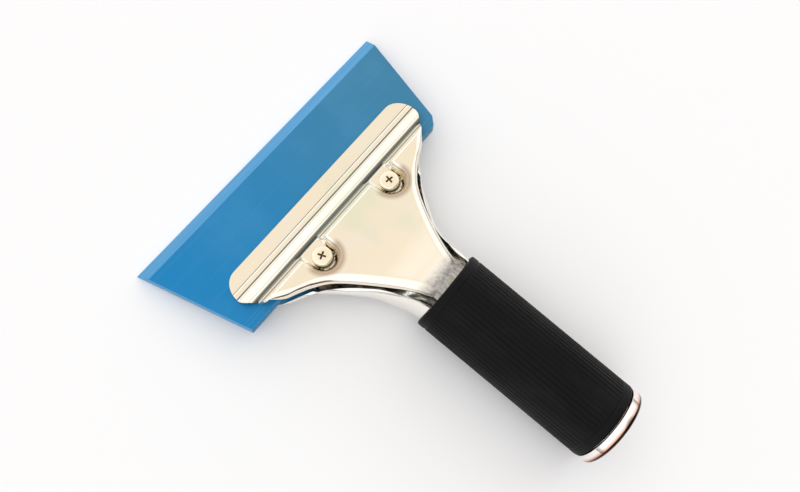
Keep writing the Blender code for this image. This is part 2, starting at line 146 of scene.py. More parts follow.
@dataclass(frozen=True)
class JawSpace:
    """The sloping space that the jaws and the blade share.

    Attributes:
        slope: How far the jaws slope down towards the front, in radians.
        thickness: The blade's thickness.
        nose: Height of the blunt nose under the blade's bevel.
        depth: The blade's depth from its edge to its back.
        clearance: Gap between pieces that touch.
        sheet: Thickness of the jaws' sheet metal.
    """

    slope: float = math.radians(8)
    thickness: float = 5.0
    nose: float = 0.6
    depth: float = 45.6
    clearance: float = 0.3
    sheet: float = 0.9

    @property
    def half(self) -> float:
        """Half the blade's thickness."""
        return self.thickness / 2

    @property
    def edge_y(self) -> float:
        """Y of the blade's middle plane at its front edge."""
        return CAD_BOX[1][1] / MM + (self.half - self.nose) * math.sin(self.slope)

    @property
    def edge_z(self) -> float:
        """Z of the blade's middle plane at its front edge."""
        return self.half * math.cos(self.slope)

    @property
    def outside(self) -> float:
        """Height of a jaw's outer face over the blade's middle plane."""
        return self.half + self.clearance + self.sheet

    @property
    def mouth(self) -> float:
        """How far behind the blade's edge the grip's mouth lies."""
        return (self.edge_y - box_mm("grip_sleeve")[1].y) / math.cos(self.slope)

    def point(self, across: float, behind: float, above: float) -> Vector:
        """A place in the jaws, as a position in the frame."""
        return Vector((
            across,
            self.edge_y - behind * math.cos(self.slope) + above * math.sin(self.slope),
            self.edge_z + behind * math.sin(self.slope) + above * math.cos(self.slope),
        ))

    def placement(self, across: float, behind: float, above: float) -> Matrix:
        """A frame at a place in the jaws whose +Z stands square on the blade."""
        return Matrix.Translation(self.point(across, behind, above)) @ Matrix.Rotation(-self.slope, 4, "X")


JAWS = JawSpace()


@dataclass(frozen=True)
class Handle:
    """The handle's axis and radii, read from the frame."""

    tube_radius: float = 13.8

    @property
    def grip_radius(self) -> float:
        """Outer radius of the rubber grip."""
        low, high = box_mm("grip_sleeve")
        return (high.x - low.x) / 2

    @property
    def axis_z(self) -> float:
        """Height of the handle's axis."""
        return self.grip_radius

    @property
    def mouth_y(self) -> float:
        """Y of the grip's front end."""
        return box_mm("grip_sleeve")[1].y

    @property
    def rear_y(self) -> float:
        """Y of the grip's rear end."""
        return box_mm("grip_sleeve")[0].y

    @property
    def butt_y(self) -> float:
        """Y of the cap's flat end."""
        return box_mm("end_cap")[0].y

    def placement(self, y: float) -> Matrix:
        """A frame on the handle's axis whose +Z points forward."""
        return Matrix.Translation((0, y, self.axis_z)) @ Matrix.Rotation(-math.pi / 2, 4, "X")

    def top_above(self, behind: float) -> float:
        """Height of the tube's top over the blade's middle plane, at a place in the jaws."""
        top = self.axis_z + self.tube_radius - JAWS.edge_z
        return (top - behind * math.sin(JAWS.slope)) / math.cos(JAWS.slope)


HANDLE = Handle()


@dataclass(frozen=True)
class Fastening:
    """Sizes that the screws share with the plates that they pass through."""

    across: float = 19.25
    shank_radius: float = 1.75
    hole_gap: float = 0.35
    head_radius: float = 3.8

    @property
    def behind(self) -> float:
        """How far behind the blade's edge the screws stand."""
        return JAWS.depth + JAWS.clearance + self.shank_radius

    @property
    def hole_radius(self) -> float:
        """Radius of the plates' clearance holes."""
        return self.shank_radius + self.hole_gap


FASTENING = Fastening()


# ---------------------------------------------------------------- finishes


class NodePainter:
    """Builds one node material, one call for each node."""

    def __init__(self, name: str) -> None:
        """Starts a material that holds only a Principled shader."""
        self.material = bpy.data.materials.new(name)
        self.material.use_nodes = True
        self.tree = self.material.node_tree
        self.shader = self.tree.nodes["Principled BSDF"]

    def node(self, kind: str, values: dict[str, object] | None = None, **settings: object) -> bpy.types.Node:
        """Adds a node.

        Args:
            kind: The node's type name.
            values: Constants or sockets for its inputs, by input name or number.
            settings: The node's own properties.

        Returns:
            The new node.
        """
        made = self.tree.nodes.new(kind)
        for key, value in settings.items():
            setattr(made, key, value)
        for key, value in (values or {}).items():
            self.feed(made.inputs[key], value)
        return made

    def feed(self, socket: bpy.types.NodeSocket, value: object) -> None:
        """Links a socket to another one, or sets it to a constant."""
        if isinstance(value, bpy.types.NodeSocket):
            self.tree.links.new(value, socket)
        else:
            socket.default_value = value

    def local(self) -> bpy.types.NodeSocket:
        """The surface's own coordinates, in metres."""
        return self.node("ShaderNodeTexCoord").outputs["Object"]

    def apart(self, vector: bpy.types.NodeSocket) -> bpy.types.bpy_prop_collection:
        """A vector's three parts, by the names X, Y and Z."""
        return self.node("ShaderNodeSeparateXYZ", {"Vector": vector}).outputs

    def times(self, first: object, second: object) -> bpy.types.NodeSocket:
        """The product of two values."""
        return self.node("ShaderNodeMath", {0: first, 1: second}, operation="MULTIPLY").outputs[0]

    def mirrored(self) -> bpy.types.NodeSocket:
        """The surface's own coordinates without their signs, so that both sides of the tool agree."""
        return self.node("ShaderNodeVectorMath", {0: self.local()}, operation="ABSOLUTE").outputs[0]

    def distance(self, vector: bpy.types.NodeSocket, point: Sequence[float]) -> bpy.types.NodeSocket:
        """How far a vector is from a fixed point."""
        values = {0: vector, 1: tuple(point)}
        return self.node("ShaderNodeVectorMath", values, operation="DISTANCE").outputs["Value"]

    def place(self, scale: tuple[float, float, float] = (1, 1, 1), turn: float = 0.0) -> bpy.types.NodeSocket:
        """The surface's own coordinates, turned about X and stretched.

        Args:
            scale: How much each axis is multiplied.
            turn: Turn about X, in radians, before the stretch.

        Returns:
            A vector socket.
        """
        turned = self.node("ShaderNodeMapping", {"Vector": self.local(), "Rotation": (turn, 0, 0)})
        return self.node("ShaderNodeMapping", {"Vector": turned.outputs[0], "Scale": scale}).outputs[0]

    def noise(self, vector: bpy.types.NodeSocket, scale: float, detail: float = 4.0,
              roughness: float = 0.55) -> bpy.types.NodeSocket:
        """A noise field's value from 0 to 1, at a number of lumps for each metre."""
        return self.node("ShaderNodeTexNoise", {
            "Vector": vector, "Scale": scale, "Detail": detail, "Roughness": roughness,
        }).outputs["Fac"]

    def between(self, value: bpy.types.NodeSocket, low: float, high: float,
                to_low: float = 0.0, to_high: float = 1.0) -> bpy.types.NodeSocket:
        """Maps a value's stretch from low to high onto another stretch, clamped and eased."""
        return self.node("ShaderNodeMapRange", {
            "Value": value, "From Min": low, "From Max": high, "To Min": to_low, "To Max": to_high,
        }, interpolation_type="SMOOTHSTEP").outputs[0]

    def blend(self, share: object, first: object, second: object) -> bpy.types.NodeSocket:
        """Mixes two colours.

        Args:
            share: 0 for the first, 1 for the second, as a constant or a socket.
            first: A colour or a colour socket.
            second: A colour or a colour socket.

        Returns:
            The mixed colour's socket.
        """
        mix = self.node("ShaderNodeMix", data_type="RGBA")
        self.feed(mix.inputs[0], share)
        for socket, colour in ((mix.inputs[6], first), (mix.inputs[7], second)):
            self.feed(socket, (*colour, 1) if isinstance(colour, tuple) else colour)
        return mix.outputs[2]

    def bumps(self, layers: Sequence[tuple[bpy.types.NodeSocket, float]]) -> None:
        """Raises the surface by heights, each with its depth in metres, and feeds the shader."""
        normal = None
        for height, depth in layers:
            values = {"Height": height, "Distance": depth, "Strength": 1.0}
            if normal is not None:
                values["Normal"] = normal
            normal = self.node("ShaderNodeBump", values).outputs[0]
        self.feed(self.shader.inputs["Normal"], normal)

    def finish(self, **values: object) -> bpy.types.Material:
        """Feeds the shader's sockets, named with underscores for spaces, and returns the material."""
        for key, value in values.items():
            self.feed(self.shader.inputs[key.replace("_", " ")], value)
        return self.material


@dataclass(frozen=True)
class BladeRubber:
    """Semi-matte urethane: deep blue, with a painted sheen that greys it towards the right end, and fine wipe
    marks.

    Attributes:
        left: Colour at the left end, where the painted sheen is least.
        right: Colour at the right end, greyed by the painted sheen.
        haze: Colour of the faint clouds and wipe marks.
        reach: Half the blade's length, in metres.
        cloud_lumps: Clouds for each metre.
        grain_lumps: Grains for each metre.
        wipe_stretch: How the wipe marks are stretched on X, Y and Z.
        cloud_share: How much the clouds show.
        wipe_share: How much the wipe marks show.
    """

    left: Colour = (0.002, 0.210, 0.480)
    right: Colour = (0.040, 0.208, 0.360)
    haze: Colour = (0.10, 0.33, 0.58)
    reach: float = 0.065
    cloud_lumps: float = 38
    grain_lumps: float = 2600
    wipe_stretch: tuple[float, float, float] = (14, 900, 900)
    cloud_share: float = 0.16
    wipe_share: float = 0.10

    def build(self) -> bpy.types.Material:
        """Builds the blade's moulded faces."""
        paint = NodePainter("blade_urethane")
        place = paint.place(turn=JAWS.slope)
        along = paint.between(paint.apart(place)["X"], -self.reach, self.reach)
        cloud = paint.noise(paint.place(), self.cloud_lumps, 3)
        # Painted sheen: the blue greys from the left end towards the right one.
        body = paint.blend(along, self.left, self.right)
        wipes = paint.noise(paint.place(self.wipe_stretch, JAWS.slope), 1.0, 5)
        grain = paint.noise(place, self.grain_lumps, 2)
        hazed = paint.blend(paint.between(cloud, 0.42, 0.75, 0.0, self.cloud_share), body, self.haze)
        marked = paint.blend(paint.between(wipes, 0.56, 0.72, 0.0, self.wipe_share), hazed, self.haze)
        paint.bumps([(wipes, 0.00001), (grain, 0.000004)])
        roughness = paint.between(cloud, 0.3, 0.7, 0.38, 0.5)
        return paint.finish(
            Base_Color=marked, Roughness=roughness, Specular_IOR_Level=0.22,
            Subsurface_Weight=0.08, Subsurface_Radius=(0.0004, 0.0012, 0.003), Subsurface_Scale=1.0,
        )


@dataclass(frozen=True)
class GroundRubber:
    """Where the blade is cut and ground: paler, matt, with saw marks along the cut."""

    pale: Colour = (0.085, 0.335, 0.62)
    deep: Colour = (0.055, 0.275, 0.54)
    streak_stretch: tuple[float, float, float] = (20, 1600, 1600)

    def build(self) -> bpy.types.Material:
        """Builds the blade's bevel and end faces."""
        paint = NodePainter("blade_ground")
        streaks = paint.noise(paint.place(self.streak_stretch, JAWS.slope), 1.0, 4)
        colour = paint.blend(paint.between(streaks, 0.35, 0.7), self.pale, self.deep)
        paint.bumps([(streaks, 0.000012)])
        return paint.finish(Base_Color=colour, Roughness=0.5, Specular_IOR_Level=0.3)


@dataclass(frozen=True)
class SheetSteel:
    """Polished pressed steel, faintly warm, with soft drawing marks and places darkened by painted shade and
    reflections.

    Lengths are in millimetres. The shades stand in for tones that the real sheet mostly mirrors.

    Attributes:
        name: The material's name.
        warm: Colour of most of the sheet.
        cool: Colour of the clouds in the polish.
        smooth: Roughness where the polish is best.
        dull: Roughness where it is worn.
        drawn: How the drawing marks are stretched on X, Y and Z.
        scratched: How the fine scratches are stretched.
        scratch: Colour of the fine scratches.
        tint: Faint green of the larger patches.
        shade: Brown of the painted shade and reflection in a ring behind each screw's pocket.
        shade_depth: How much that ring shows.
        ring: Distances from the pocket's middle where the ring starts, is full, and starts and ends fading.
        ring_behind: How far behind the screw the ring's middle lies.
        platform_rise: Height of the platform over the lip.
        crescent: Dark colour of a painted shadow on a pocket's floor, round the back of the screw's head.
        crescent_radii: Distances from the screw where the crescent is full and has faded.
        crescent_depth: How much the crescent shows.
        valley: Colour of the painted dark reflection in a line at the foot of the bead.
        valley_start: Where that line is full, behind the blade's edge.
        valley_end: Where it ends.
        neck: Colour of the speckled painted dark reflection before the grip.
        neck_start: Where the patch starts.
        neck_end: Where it is full.
        neck_depth: How much it shows.
    """

    name: str = "pressed_steel"
    warm: Colour = (0.93, 0.865, 0.745)
    cool: Colour = (0.90, 0.88, 0.84)
    smooth: float = 0.10
    dull: float = 0.2
    drawn: tuple[float, float, float] = (40, 1500, 1500)
    scratched: tuple[float, float, float] = (700, 4200, 4200)
    scratch: Colour = (0.7, 0.68, 0.64)
    tint: Colour = (0.74, 0.83, 0.70)
    shade: Colour = (0.36, 0.25, 0.17)
    shade_depth: float = 0.75
    ring: tuple[float, float, float, float] = (4.6, 5.6, 6.2, 8.8)
    ring_behind: float = 0.9
    platform_rise: float = 3.6
    crescent: Colour = (0.05, 0.045, 0.03)
    crescent_radii: tuple[float, float] = (4.1, 4.9)
    crescent_depth: float = 0.92
    valley: Colour = (0.32, 0.33, 0.30)
    valley_start: float = 40.9
    valley_end: float = 41.3
    neck: Colour = (0.07, 0.07, 0.08)
    neck_start: float = 80.0
    neck_end: float = 88.0
    neck_depth: float = 0.0

    def pocket_shade(self, paint: NodePainter) -> bpy.types.NodeSocket:
        """How much of a ring of painted brown shade and reflection shows, behind each screw's pocket."""
        above = JAWS.outside + self.platform_rise
        middle = JAWS.point(FASTENING.across, FASTENING.behind + self.ring_behind, above) * MM
        parts = paint.apart(paint.local())
        sideways = paint.apart(paint.mirrored())["X"]
        flat = paint.node("ShaderNodeCombineXYZ", {"X": sideways, "Y": parts["Y"]}).outputs[0]
        away = paint.distance(flat, (middle.x, middle.y, 0.0))
        start, full, fading, end = (radius * MM for radius in self.ring)
        ring = paint.times(paint.between(away, start, full), paint.between(away, fading, end, 1.0, 0.0))
        rear = paint.between(parts["Y"], middle.y - 1.0 * MM, middle.y + 2.5 * MM, 1.0, 0.0)
        return paint.times(paint.times(ring, rear), self.shade_depth)

    def crescent_shade(self, paint: NodePainter) -> bpy.types.NodeSocket:
        """How much of a painted shadow shows as a dark crescent on a pocket's floor, round the back of the
        screw's head.
        """
        seat = JAWS.point(FASTENING.across, FASTENING.behind, JAWS.outside) * MM
        full, end = (radius * MM for radius in self.crescent_radii)
        away = paint.distance(paint.mirrored(), seat)
        near = paint.between(away, full, end, self.crescent_depth, 0.0)
        along = paint.apart(paint.local())["Y"]
        rear = paint.between(along, seat.y - 1.6 * MM, seat.y + 0.8 * MM, 1.0, 0.0)
        return paint.times(near, rear)

    def behind(self, paint: NodePainter) -> bpy.types.NodeSocket:
        """How far behind the blade's edge a point of the sheet lies, in millimetres."""
        along = paint.apart(paint.place(turn=JAWS.slope))["Y"]
        edge = JAWS.edge_y * math.cos(JAWS.slope) - JAWS.edge_z * math.sin(JAWS.slope)
        scaled = {0: along, 1: -1 / MM, 2: edge}
        return paint.node("ShaderNodeMath", scaled, operation="MULTIPLY_ADD").outputs[0]

    def valley_shade(self, paint: NodePainter) -> bpy.types.NodeSocket:
        """How much of a line of painted dark reflection shows along the foot of the bead."""
        behind = self.behind(paint)
        entered = paint.between(behind, self.valley_start - 0.9, self.valley_start)
        left = paint.between(behind, self.valley_end - 0.2, self.valley_end + 0.2, 1.0, 0.0)
        return paint.times(entered, left)

    def neck_shade(self, paint: NodePainter) -> bpy.types.NodeSocket:
        """How much of a speckled patch of painted dark reflection shows where the sheet climbs into the grip.
        """
        speck = paint.between(paint.noise(paint.place((1.0, 0.35, 1)), 900, 3), 0.3, 0.7, 0.7, 1.0)
        climbing = paint.between(self.behind(paint), self.neck_start, self.neck_end, 0.0, self.neck_depth)
        return paint.times(speck, climbing)

    def build(self) -> bpy.types.Material:
        """Builds the sheet's polish."""
        paint = NodePainter(self.name)
        cloud = paint.noise(paint.place(), 55, 3)
        drawn = paint.noise(paint.place(self.drawn, JAWS.slope), 1.0, 3)
        fine = paint.noise(paint.place(self.scratched, JAWS.slope), 1.0, 2)
        patch = paint.noise(paint.place((1, 0.7, 1)), 42, 2)
        colour = paint.blend(paint.between(cloud, 0.45, 0.7, 0.0, 0.5), self.warm, self.cool)
        colour = paint.blend(paint.between(patch, 0.52, 0.72, 0.0, 0.55), colour, self.tint)
        # Painted shade, shadow and dark reflections over the sheet's own colour: behind the pockets, round
        # the screw heads, before the grip and along the bead's foot.
        colour = paint.blend(self.pocket_shade(paint), colour, self.shade)
        colour = paint.blend(self.crescent_shade(paint), colour, self.crescent)
        colour = paint.blend(self.neck_shade(paint), colour, self.neck)
        colour = paint.blend(self.valley_shade(paint), colour, self.valley)
        colour = paint.blend(paint.between(fine, 0.66, 0.8, 0.0, 0.05), colour, self.scratch)
        paint.bumps([(drawn, 0.0000006), (cloud, 0.00001)])
        roughness = paint.between(drawn, 0.3, 0.75, self.smooth, self.dull)
        return paint.finish(Base_Color=colour, Metallic=1.0, Roughness=roughness)


@dataclass(frozen=True)
class GripRubber:
    """Matt black rubber with a fine moulded grain and slightly greyer patches."""

    name: str = "grip_rubber"
    black: Colour = (0.0022, 0.0023, 0.0026)
    greyer: Colour = (0.007, 0.0074, 0.0078)

    def build(self) -> bpy.types.Material:
        """Builds the grip's rubber."""
        paint = NodePainter(self.name)
        place = paint.place()
        grain = paint.noise(place, 3800, 3)
        patch = paint.noise(paint.place((1, 0.4, 1)), 90, 3)
        colour = paint.blend(paint.between(patch, 0.4, 0.75, 0.0, 0.7), self.black, self.greyer)
        paint.bumps([(grain, 0.000025)])
        roughness = paint.between(patch, 0.3, 0.7, 0.62, 0.5)
        return paint.finish(Base_Color=colour, Roughness=roughness, Specular_IOR_Level=0.14)


@dataclass(frozen=True)
class BrightChrome:
    """Bright plating with a peach and brown band round its rim, and fine turned rings.

    The band stands in for dark surroundings that the real rim mirrors. Lengths are in millimetres.

    Attributes:
        name: The material's name.
        tone: Main colour.
        warm: Colour of the faint clouds.
        peach: Colour of the inner part of the band.
        brown: Colour of the outer part of the band.
        brown_from: Where the brown starts to fade, forward of the cap's flat end.
        peach_from: Where it has given way to the peach.
        clean_from: Where the peach has given way to the main colour.
        rim_radius: Distance from the axis where the band is full.
        rim_ease: How far inside that distance the band starts.
    """

    name: str = "cap_chrome"
    tone: Colour = (0.93, 0.90, 0.88)
    warm: Colour = (0.93, 0.84, 0.79)
    peach: Colour = (0.80, 0.50, 0.38)
    brown: Colour = (0.05, 0.022, 0.014)
    brown_from: float = 1.2
    peach_from: float = 1.8
    clean_from: float = 2.6
    rim_radius: float = 14.7
    rim_ease: float = 0.6

    def banded_rim(self, paint: NodePainter, clean: bpy.types.NodeSocket) -> bpy.types.NodeSocket:
        """The cap's colour, with the band round its rim.

        Args:
            paint: The material's painter.
            clean: Colour of the rest of the cap.

        Returns:
            A colour socket.
        """
        parts = paint.apart(paint.local())
        butt = HANDLE.butt_y
        brown_end, peach_start, peach_end = (
            (butt + forward) * MM for forward in (self.brown_from, self.peach_from, self.clean_from)
        )
        peach = paint.between(parts["Y"], peach_start, peach_end)
        brown = paint.between(parts["Y"], brown_end, peach_start)
        banded = paint.blend(brown, self.brown, paint.blend(peach, self.peach, clean))
        across = paint.node("ShaderNodeCombineXYZ", {"X": parts["X"], "Y": parts["Z"]}).outputs[0]
        out = paint.distance(across, (0.0, HANDLE.axis_z * MM, 0.0))
        rim = paint.between(out, (self.rim_radius - self.rim_ease) * MM, self.rim_radius * MM)
        return paint.blend(rim, clean, banded)

    def build(self) -> bpy.types.Material:
        """Builds the cap's plating."""
        paint = NodePainter(self.name)
        cloud = paint.noise(paint.place(), 120, 2)
        rings = paint.noise(paint.place((25, 3600, 25)), 1.0, 2)
        colour = paint.blend(paint.between(cloud, 0.4, 0.7), self.tone, self.warm)
        paint.bumps([(rings, 0.0000008)])
        roughness = paint.between(rings, 0.3, 0.7, 0.05, 0.12)
        return paint.finish(Base_Color=self.banded_rim(paint, colour), Metallic=1.0, Roughness=roughness)


@dataclass(frozen=True)
class PlatedFastener:
    """Yellowish nickel plate, slightly dulled, as on a small machine screw."""

    name: str = "nickel_plate"
    tone: Colour = (0.92, 0.85, 0.68)
    dark: Colour = (0.62, 0.52, 0.36)

    def build(self) -> bpy.types.Material:
        """Builds the fasteners' plating."""
        paint = NodePainter(self.name)
        place = paint.place()
        speck = paint.noise(place, 900, 4)
        grain = paint.noise(place, 5200, 2)
        colour = paint.blend(paint.between(speck, 0.56, 0.76, 0.0, 0.7), self.tone, self.dark)
        paint.bumps([(grain, 0.000006), (speck, 0.000008)])
        return paint.finish(
            Base_Color=colour, Metallic=1.0, Roughness=paint.between(speck, 0.3, 0.75, 0.2, 0.38),
        )


@dataclass(frozen=True)
class RecessShade:
    """The walls of a screw's recess, painted brown and dark as shade inside the recess."""

    name: str = "recess_painted_shade"
    tone: Colour = (0.50, 0.38, 0.27)
    dark: Colour = (0.22, 0.15, 0.10)

    def build(self) -> bpy.types.Material:
        """Builds the recess's painted shade."""
        paint = NodePainter(self.name)
        speck = paint.noise(paint.place(), 2200, 3)
        # Brown and darker brown specks: painted shade inside the recess.
        colour = paint.blend(paint.between(speck, 0.35, 0.65), self.tone, self.dark)
        paint.bumps([(speck, 0.00002)])
        return paint.finish(Base_Color=colour, Metallic=0.6, Roughness=0.5)


# ---------------------------------------------------------------- mesh tools


def grid(rows: int, columns: int, place: Place) -> bmesh.types.BMesh:
    """A sheet of rows by columns points.

    Args:
        rows: Points from front to back.
        columns: Points from side to side.
        place: Gives the position of a row's and column's point.

    Returns:
        The sheet.
    """
    bm = bmesh.new()
    bmesh.ops.create_grid(bm, x_segments=columns - 1, y_segments=rows - 1, size=0.5)
    for vertex in bm.verts:
        column = round((vertex.co.x + 0.5) * (columns - 1))
        row = round((vertex.co.y + 0.5) * (rows - 1))
        vertex.co = place(row, column)
    bm.normal_update()
    return bm


def face_upwards(bm: bmesh.types.BMesh, up: bool = True) -> None:
    """Turns an open sheet's faces so that most of them point up, or down."""
    lift = sum(face.normal.z * face.calc_area() for face in bm.faces)
    if (lift > 0) != up:
        bmesh.ops.reverse_faces(bm, faces=bm.faces)


def turned(profile: Sequence[tuple[float, float]], steps: int) -> bmesh.types.BMesh:
    """A solid of revolution about Z.

    Args:
        profile: Pairs of radius and height, from the axis or round to where it began.
        steps: How many flats the turn has.

    Returns:
        A closed mesh whose faces point outwards.
    """
    bm = bmesh.new()
    verts = [bm.verts.new((radius, 0, height)) for radius, height in profile]
    edges = [bm.edges.new(pair) for pair in zip(verts, verts[1:])]
    if profile[0][0] > 0:
        edges.append(bm.edges.new((verts[-1], verts[0])))
    bmesh.ops.spin(
        bm, geom=verts + edges, cent=(0, 0, 0), axis=(0, 0, 1), angle=2 * math.pi, steps=steps,
        use_merge=True,
    )
    bmesh.ops.remove_doubles(bm, verts=bm.verts, dist=0.0005)
    bmesh.ops.recalc_face_normals(bm, faces=bm.faces)
    return bm


def round_corner(before: tuple[float, float], corner: tuple[float, float], after: tuple[float, float],
                 radius: float, steps: int = 8) -> list[tuple[float, float]]:
    """Points of a quarter arc that rounds a profile's square corner."""
    middle = Vector(corner)
    start = middle + (Vector(before) - middle).normalized() * radius
    end = middle + (Vector(after) - middle).normalized() * radius
    centre = start + end - middle
    arc = []
    for step in range(steps + 1):
        turn = step / steps * math.pi / 2
        arc.append(tuple(centre + (start - centre) * math.cos(turn) + (end - centre) * math.sin(turn)))
    return arc


def finished(bm: bmesh.types.BMesh, name: str, materials: Sequence[bpy.types.Material],
             sharp: float = 35.0) -> bpy.types.Object:
    """Makes a piece of a mesh in millimetres.

    Args:
        bm: The mesh, which is freed.
        name: The piece's name.
        materials: Its finishes, in the order of its faces' numbers.
        sharp: Angle in degrees past which an edge is shaded sharp.

    Returns:
        The new object, at the origin.
    """
    bmesh.ops.scale(bm, vec=(MM, MM, MM), verts=bm.verts)
    mesh = bpy.data.meshes.new(name)
    bm.to_mesh(mesh)
    bm.free()
    mesh.shade_smooth()
    mesh.set_sharp_from_angle(angle=math.radians(sharp))
    made = bpy.data.objects.new(name, mesh)
    bpy.context.scene.collection.objects.link(made)
    for material in materials:
        made.data.materials.append(material)
    return made


def thicken(piece: bpy.types.Object) -> None:
    """Gives an outer surface the sheet's thickness, inwards, with slightly rounded rims."""
    shell = piece.modifiers.new("sheet", "SOLIDIFY")
    shell.thickness = JAWS.sheet * MM
    shell.offset = -1
    shell.use_even_offset = False
    rims = piece.modifiers.new("rims", "BEVEL")
    rims.width = 0.16 * MM
    rims.segments = 2
    rims.limit_method = "ANGLE"
    rims.angle_limit = math.radians(60)


def cut_away(piece: bpy.types.Object, tools: Sequence[bmesh.types.BMesh]) -> None:
    """Takes solids in millimetres out of a piece, and settles its modifiers.

    Args:
        piece: What is cut.
        tools: The solids, which are freed.
    """
    cutters = [finished(tool, f"{piece.name}_cutter_{i}", []) for i, tool in enumerate(tools)]
    for tool in cutters:
        modifier = piece.modifiers.new(tool.name, "BOOLEAN")
        modifier.operation = "DIFFERENCE"
        modifier.solver = "EXACT"
        modifier.object = tool
    settle(piece)
    for tool in cutters:
        bpy.data.objects.remove(tool, do_unlink=True)


def settle(piece: bpy.types.Object) -> None:
    """Replaces a piece's mesh by what its modifiers make of it."""
    bpy.context.view_layer.update()
    evaluated = piece.evaluated_get(bpy.context.evaluated_depsgraph_get())
    mesh = bpy.data.meshes.new_from_object(evaluated)
    mesh.name = piece.name
    piece.modifiers.clear()
    piece.data = mesh
    mesh.shade_smooth()
    mesh.set_sharp_from_angle(angle=math.radians(35))


def drill(placement: Matrix, radius: float, length: float, sides: int = 48) -> bmesh.types.BMesh:
    """A cylinder, centred on a placement, for a hole."""
    bm = bmesh.new()
    bmesh.ops.create_cone(
        bm, cap_ends=True, segments=sides, radius1=radius, radius2=radius, depth=length, matrix=placement,
    )
    return bm


def screw_drills(above: float, length: float) -> list[bmesh.types.BMesh]:
    """The drills for both screws' clearance holes.

    Args:
        above: Height of the drills' middles over the blade's middle plane.
        length: Their length.

    Returns:
        One drill for each side.
    """
    seats = [JAWS.placement(side.value * FASTENING.across, FASTENING.behind, above) for side in Side]
    return [drill(seat, FASTENING.hole_radius, length) for seat in seats]


def report(piece: bpy.types.Object) -> None:
    """Says in the log what a piece came to."""
    LOG.info("%s: %d faces", piece.name, len(piece.data.polygons))


# ---------------------------------------------------------------- the blade


@dataclass
class Blade:
    """The thick blue blade: bevelled front, slanted ends, one clipped corner, moulding lines at the back."""

    length: float = 130.0
    bevel: float = 5.6
    slants: dict[Side, float] = field(default_factory=lambda: {Side.LEFT: 0.23, Side.RIGHT: 0.29})
    corner_cut: float = 2.0
    rounding: float = 0.12
    line_places: tuple[float, ...] = (1.9, 3.1)
    line_width: float = 0.35
    line_depth: float = 0.1

    def build(self) -> bpy.types.Object:
        """Builds the blade and rides it on its body."""
        bm = bmesh.new()
        bmesh.ops.create_cube(bm, size=1)
        bmesh.ops.scale(bm, vec=(self.length, JAWS.depth, JAWS.thickness), verts=bm.verts)
        front = JAWS.depth / 2
        half = self.length / 2
        self.slice_off(bm, (0, front, JAWS.nose - JAWS.half), (0, JAWS.thickness - JAWS.nose, self.bevel))
        for side in Side:
            self.slice_off(bm, (side.value * half, front, 0), (side.value, -self.slants[side], 0))
        corner = half - self.slants[Side.RIGHT] * JAWS.depth
        clipped = (corner - self.corner_cut / 2, self.corner_cut / 2 - front, 0)
        self.slice_off(bm, clipped, (1, -1, 0))
        for from_back in self.line_places:
            self.score(bm, from_back - front)
        sharp = [edge for edge in bm.edges if edge.calc_face_angle(0) > math.radians(20)]
        bmesh.ops.bevel(
            bm, geom=sharp, offset=self.rounding, segments=2, profile=0.5, affect="EDGES", material=-1,
        )
        bm.normal_update()
        for face in bm.faces:
            flat = abs(face.normal.z) > 0.95 or face.normal.y < -0.95
            face.material_index = 0 if flat else 1
        bmesh.ops.translate(bm, vec=(0, -front, 0), verts=bm.verts)
        bmesh.ops.transform(bm, matrix=JAWS.placement(0, 0, 0), verts=bm.verts)
        piece = finished(bm, "squeegee_blade", [BladeRubber().build(), GroundRubber().build()], sharp=25)
        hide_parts("blade")
        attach(piece, "blade")
        return piece

    def slice_off(self, bm: bmesh.types.BMesh, point: tuple[float, float, float],
                  outward: tuple[float, float, float]) -> None:
        """Cuts away what lies beyond a plane, and closes the cut."""
        whole = bm.verts[:] + bm.edges[:] + bm.faces[:]
        cut = bmesh.ops.bisect_plane(
            bm, geom=whole, plane_co=point, plane_no=Vector(outward).normalized(), clear_outer=True,
        )
        edges = [item for item in cut["geom_cut"] if isinstance(item, bmesh.types.BMEdge)]
        bmesh.ops.edgeloop_fill(bm, edges=edges)
        bmesh.ops.recalc_face_normals(bm, faces=bm.faces)

    def score(self, bm: bmesh.types.BMesh, y: float) -> None:
        """Presses a shallow line into the blade's top and bottom, parallel to its back."""
        for offset in (-self.line_width / 2, 0.0, self.line_width / 2):
            bmesh.ops.bisect_plane(
                bm, geom=bm.verts[:] + bm.edges[:] + bm.faces[:], plane_co=(0, y + offset, 0),
                plane_no=(0, 1, 0),
            )
        for vertex in bm.verts:
            if abs(vertex.co.y - y) < self.line_width / 10 and abs(vertex.co.z) > JAWS.half * 0.9:
                vertex.co.z -= math.copysign(self.line_depth, vertex.co.z)


# ---------------------------------------------------------------- the two jaws


@dataclass(frozen=True)
class Groove:
    """A pressed line across the upper jaw: its place behind the edge, half-width and depth."""

    behind: float
    half_width: float
    depth: float

    def dip(self, behind: float) -> float:
        """How deep the groove is at a place behind the edge."""
        away = abs(behind - self.behind) / self.half_width
        return self.depth * (0.5 + 0.5 * math.cos(math.pi * away)) if away < 1 else 0.0


